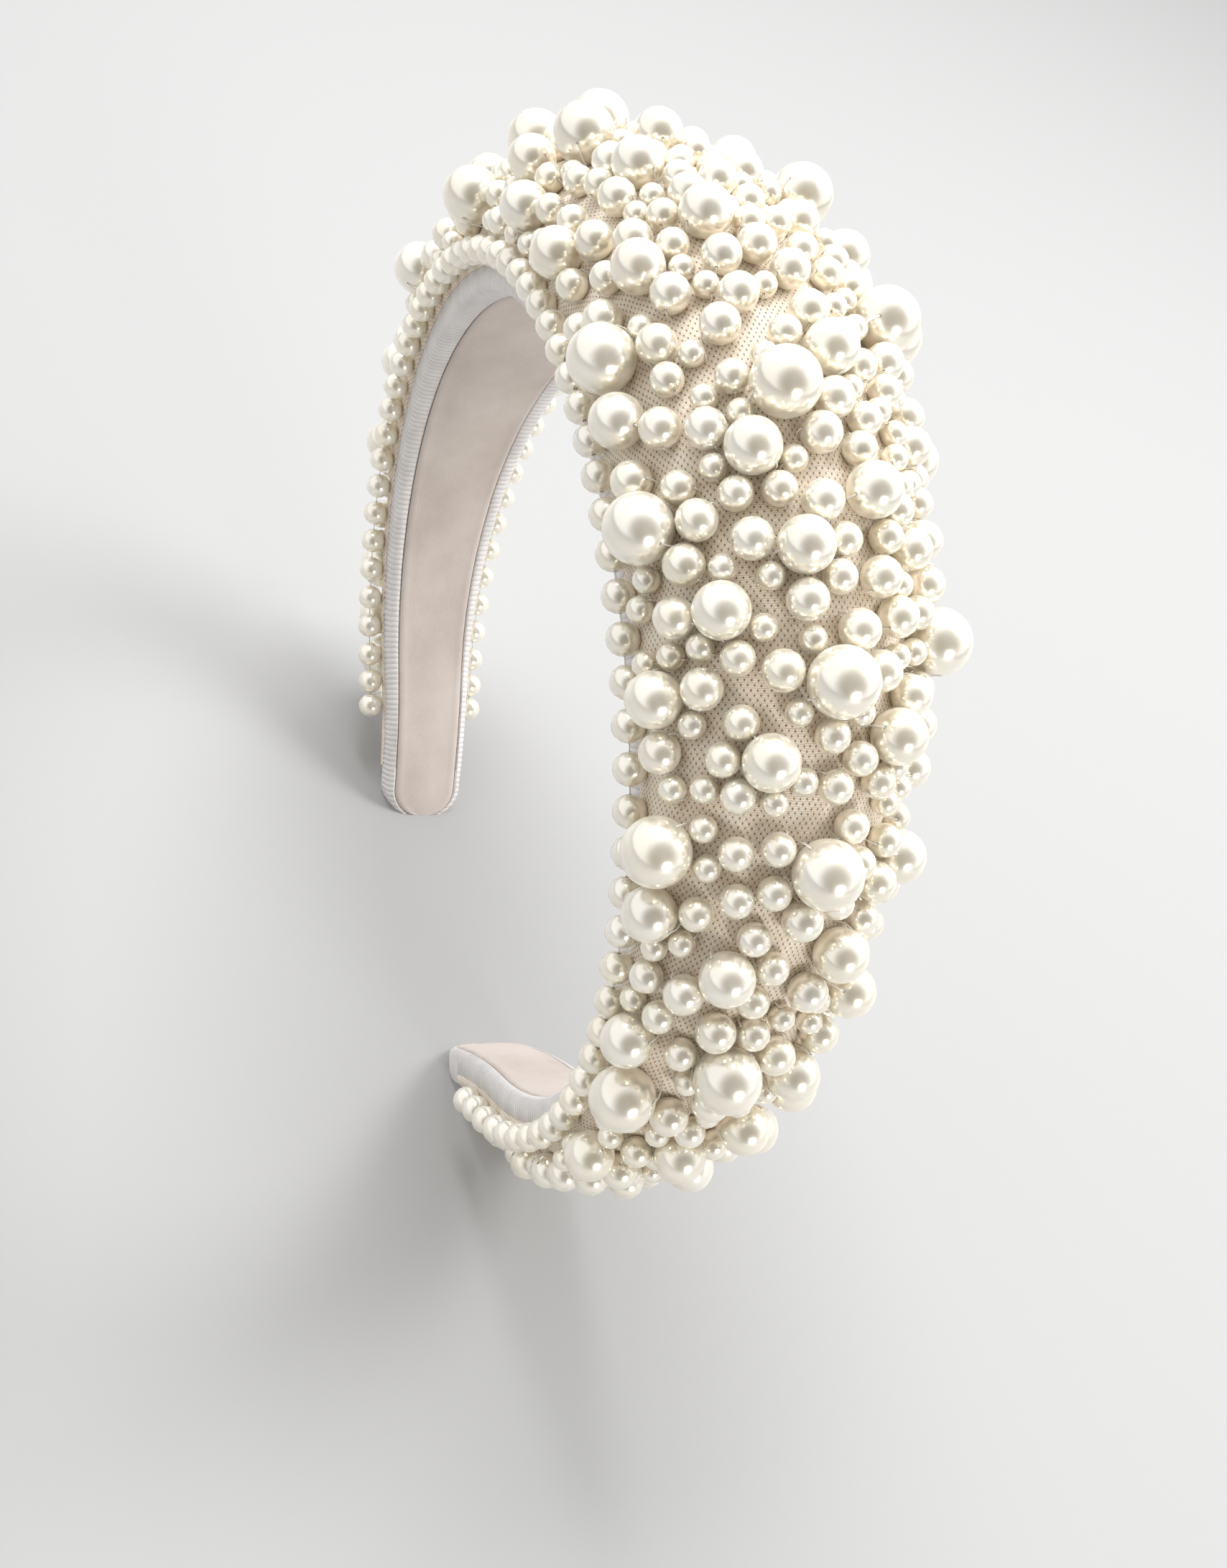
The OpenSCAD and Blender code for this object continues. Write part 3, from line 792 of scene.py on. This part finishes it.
def baseBall(radius, bore, cuts):  # a cube made round, with a drilled hole at each pole
    bpy.ops.object.select_all(action="DESELECT")
    bpy.ops.mesh.primitive_cube_add(size=2)
    ball = bpy.context.object
    editAll(ball)
    bpy.ops.mesh.subdivide(number_cuts=cuts - 1)
    leaveEdit()
    cube = points(ball)
    x, y, z = (cube ** 2).T  # even spread of the faces over the ball
    ballPlaces = cube * np.sqrt(np.stack([1 - y / 2 - z / 2 + y * z / 3, 1 - z / 2 - x / 2 + z * x / 3,
                                          1 - x / 2 - y / 2 + x * y / 3], axis=1))
    movePoints(ball, ballPlaces * radius)
    for pole in (1, -1):
        onlySelect(ball)
        bpy.ops.object.mode_set(mode="EDIT")
        bpy.ops.mesh.select_mode(type="VERT")
        bpy.ops.mesh.select_all(action="DESELECT")
        leaveEdit()
        target = min(ball.data.vertices, key=lambda v: (v.co - Vector((0, 0, pole * radius))).length)
        target.select = True
        bpy.ops.object.mode_set(mode="EDIT")
        bpy.ops.mesh.bevel(offset=bore * pearlForm["rimShare"], offset_type="OFFSET", affect="VERTICES", segments=1)
        bpy.ops.mesh.extrude_region_move(
            TRANSFORM_OT_translate={"value": (0, 0, -pole * bore * pearlForm["deep"])})
        leaveEdit()
    smooth(ball, 60)
    ball.data.attributes.new("pearlTint", "FLOAT", "POINT")
    return ball


def turnTo(axis, spin):
    return Vector((0, 0, 1)).rotation_difference(Vector(axis)) @ Quaternion((0, 0, 1), spin)


chance = random.Random(7)
balls = {}
for node, (radius, found) in pearls.items():
    edge = "edge" in node
    key = (round(radius / mm, 2), edge)
    if key not in balls:
        cuts = pearlForm["fine"] if radius > pearlForm["fineOver"] * mm else pearlForm["plain"]
        balls[key] = baseBall(radius, pearlForm["edgeBore" if edge else "bore"] * mm, cuts)
    copies = []
    for centre, axis in found:
        copy = balls[key].copy()
        copy.data = balls[key].data.copy()
        turn = turnTo(axis, chance.uniform(0, 6.28))
        copy.matrix_world = Matrix.LocRotScale(Vector(centre), turn, Vector((1, 1, 1)))
        tint = np.full(len(copy.data.vertices), chance.random(), np.float32)
        copy.data.attributes["pearlTint"].data.foreach_set("value", tint)
        scene.collection.objects.link(copy)
        copies.append(copy)
    onlySelect(*copies)
    bpy.ops.object.join()
    bpy.ops.object.transform_apply(location=True, rotation=True, scale=True)
    section, rest = node.split("_", 1)
    copies[0].name = section + "".join(word.capitalize() for word in rest.split("_"))
    finishPiece(copies[0], creamNacre, "pearl", node)
    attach(copies[0], bodyOf(section))
for ball in balls.values():
    bpy.data.objects.remove(ball)
print("headband: pearls done")


# stitches: a thread up through each bore and down into the cover again
threadSize = {"across": 0.22, "sides": 1, "dip": 0.5, "rimGap": 0.06, "bendGap": 0.12, "bendDrop": 0.35,
              "footOut": 0.75}


def threadPiece(name, lines):
    curve = bpy.data.curves.new(name, "CURVE")
    curve.dimensions = "3D"
    curve.bevel_depth = threadSize["across"] / 2 * mm
    curve.bevel_resolution = threadSize["sides"]
    curve.use_fill_caps = True
    for line in lines:
        spline = curve.splines.new("POLY")
        spline.points.add(len(line) - 1)
        for point, place in zip(spline.points, line):
            point.co = (*place, 1)
    piece = bpy.data.objects.new(name, curve)
    scene.collection.objects.link(piece)
    onlySelect(piece)
    bpy.ops.object.convert(target="MESH")
    piece = bpy.context.object
    editAll(piece)
    bpy.ops.mesh.normals_make_consistent(inside=False)
    leaveEdit()
    smooth(piece, 60)
    return piece


for section in ("crown", "left", "right"):
    lines = []
    for node, (radius, found) in pearls.items():
        if "edge" in node or not node.startswith(section):
            continue
        for (centre, axis), foot in zip(found, contacts[node]):
            down = (foot - centre) / np.linalg.norm(foot - centre)
            line = []
            for way in (1, -1):
                out = way * axis
                rim = centre + out * (radius + threadSize["rimGap"] * mm)
                bend = centre + out * (radius + threadSize["bendGap"] * mm) + down * radius * threadSize["bendDrop"]
                dip = centre + out * (radius * threadSize["footOut"]) + down * (radius + threadSize["dip"] * mm)
                line += [dip, bend, rim] if way == 1 else [rim, bend, dip]
            lines.append(line)
    stitches = threadPiece(section + "Stitches", lines)
    finishPiece(stitches, sewingThread, "thread", section + "_pearl_stitches")
    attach(stitches, bodyOf(section))


# edge threads, one through each row of edge pearls
edgeRow = {"out": 2.55, "height": 6.6, "pitch": 5.5, "bare": 22.0, "past": 2.7, "steps": 130}
lastPearl = math.floor((halfLength - edgeRow["bare"]) / edgeRow["pitch"]) * edgeRow["pitch"]
for sideName, sign in sides.items():
    for faceName, face in (("Front", -1), ("Back", 1)):
        s = np.linspace(0.0, lastPearl + edgeRow["past"], edgeRow["steps"])
        line = bandPoint(sign * s, face * (halfWidth(s) + edgeRow["out"]), edgeRow["height"] + 0 * s)
        cord = threadPiece(sideName + faceName + "EdgeThread", [line])
        finishPiece(cord, sewingThread, "thread", *bothSections(sideName, f"_{faceName.lower()}_edge_thread"))
        bendWith(cord)
print("headband: threads done")


# core band and tape stay as the CAD has them
for node, piece in nodes.items():
    if node.endswith("_core_band") or node.endswith("_lining_tape"):
        piece.data.materials.clear()
        piece.data.materials.append(mouldedCore if node.endswith("core_band") else tapeFilm)


# floor and soft light
stageLook = {"floor": (0.435, 0.435, 0.432, 1), "bright": (0.97, 0.98, 1.0, 1), "dark": (0.20, 0.17, 0.14, 1),
             "darkWay": (0.80, -0.10, 0.58), "darkSpan": (0.45, 0.93), "worldPower": 1.12}


def addStage(look):  # plain floor, and a bright room with one darker side
    bpy.ops.object.select_all(action="DESELECT")
    bpy.ops.mesh.primitive_plane_add(size=8, location=(0, 0, 0))
    floor = bpy.context.object
    floor.name = "paleFloor"
    material, tree, shader = newMaterial("paleFloor", Roughness=0.9, Specular_IOR_Level=0.2)
    shader.inputs["Base Color"].default_value = look["floor"]
    floor.data.materials.append(material)
    world = bpy.data.worlds.new("softRoom")
    world.use_nodes = True
    scene.world = world
    tree = world.node_tree
    background = tree.nodes["Background"]
    way = tree.nodes.new("ShaderNodeTexCoord").outputs["Generated"]
    toDark = addNode(tree, "ShaderNodeVectorMath", {0: way, 1: Vector(look["darkWay"]).normalized()},
                     operation="DOT_PRODUCT")
    share = softStep(tree, toDark.outputs["Value"], look["darkSpan"])
    tree.links.new(mixColor(tree, share, look["bright"], look["dark"]), background.inputs["Color"])
    background.inputs["Strength"].default_value = look["worldPower"]


lightLook = {"overheadWindow": {"way": (-0.42, 0.0, 0.9), "size": (0.52, 0.5), "power": 8.0},
             "sideWindow": {"way": (0.0, 0.70, 0.71), "size": (0.42, 0.34), "power": 4.8},
             "lowWindow": {"way": (0.97, 0.20, 0.16), "size": (0.29, 0.26), "power": 3.1}}
lightAim, lightDistance = Vector((0.0, 0.0, 0.08)), 0.95


def addLight(name, look):
    data = bpy.data.lights.new(name, "AREA")
    data.shape, data.energy = "RECTANGLE", look["power"]
    data.size, data.size_y = look["size"]
    light = bpy.data.objects.new(name, data)
    scene.collection.objects.link(light)
    way = Vector(look["way"]).normalized()
    light.location = lightAim + way * lightDistance
    light.rotation_mode = "QUATERNION"
    light.rotation_quaternion = (-way).to_track_quat("-Z", "Y")


addStage(stageLook)
for lightName, look in lightLook.items():
    addLight(lightName, look)
scene.view_settings.view_transform = "Standard"
print("headband: stage done")
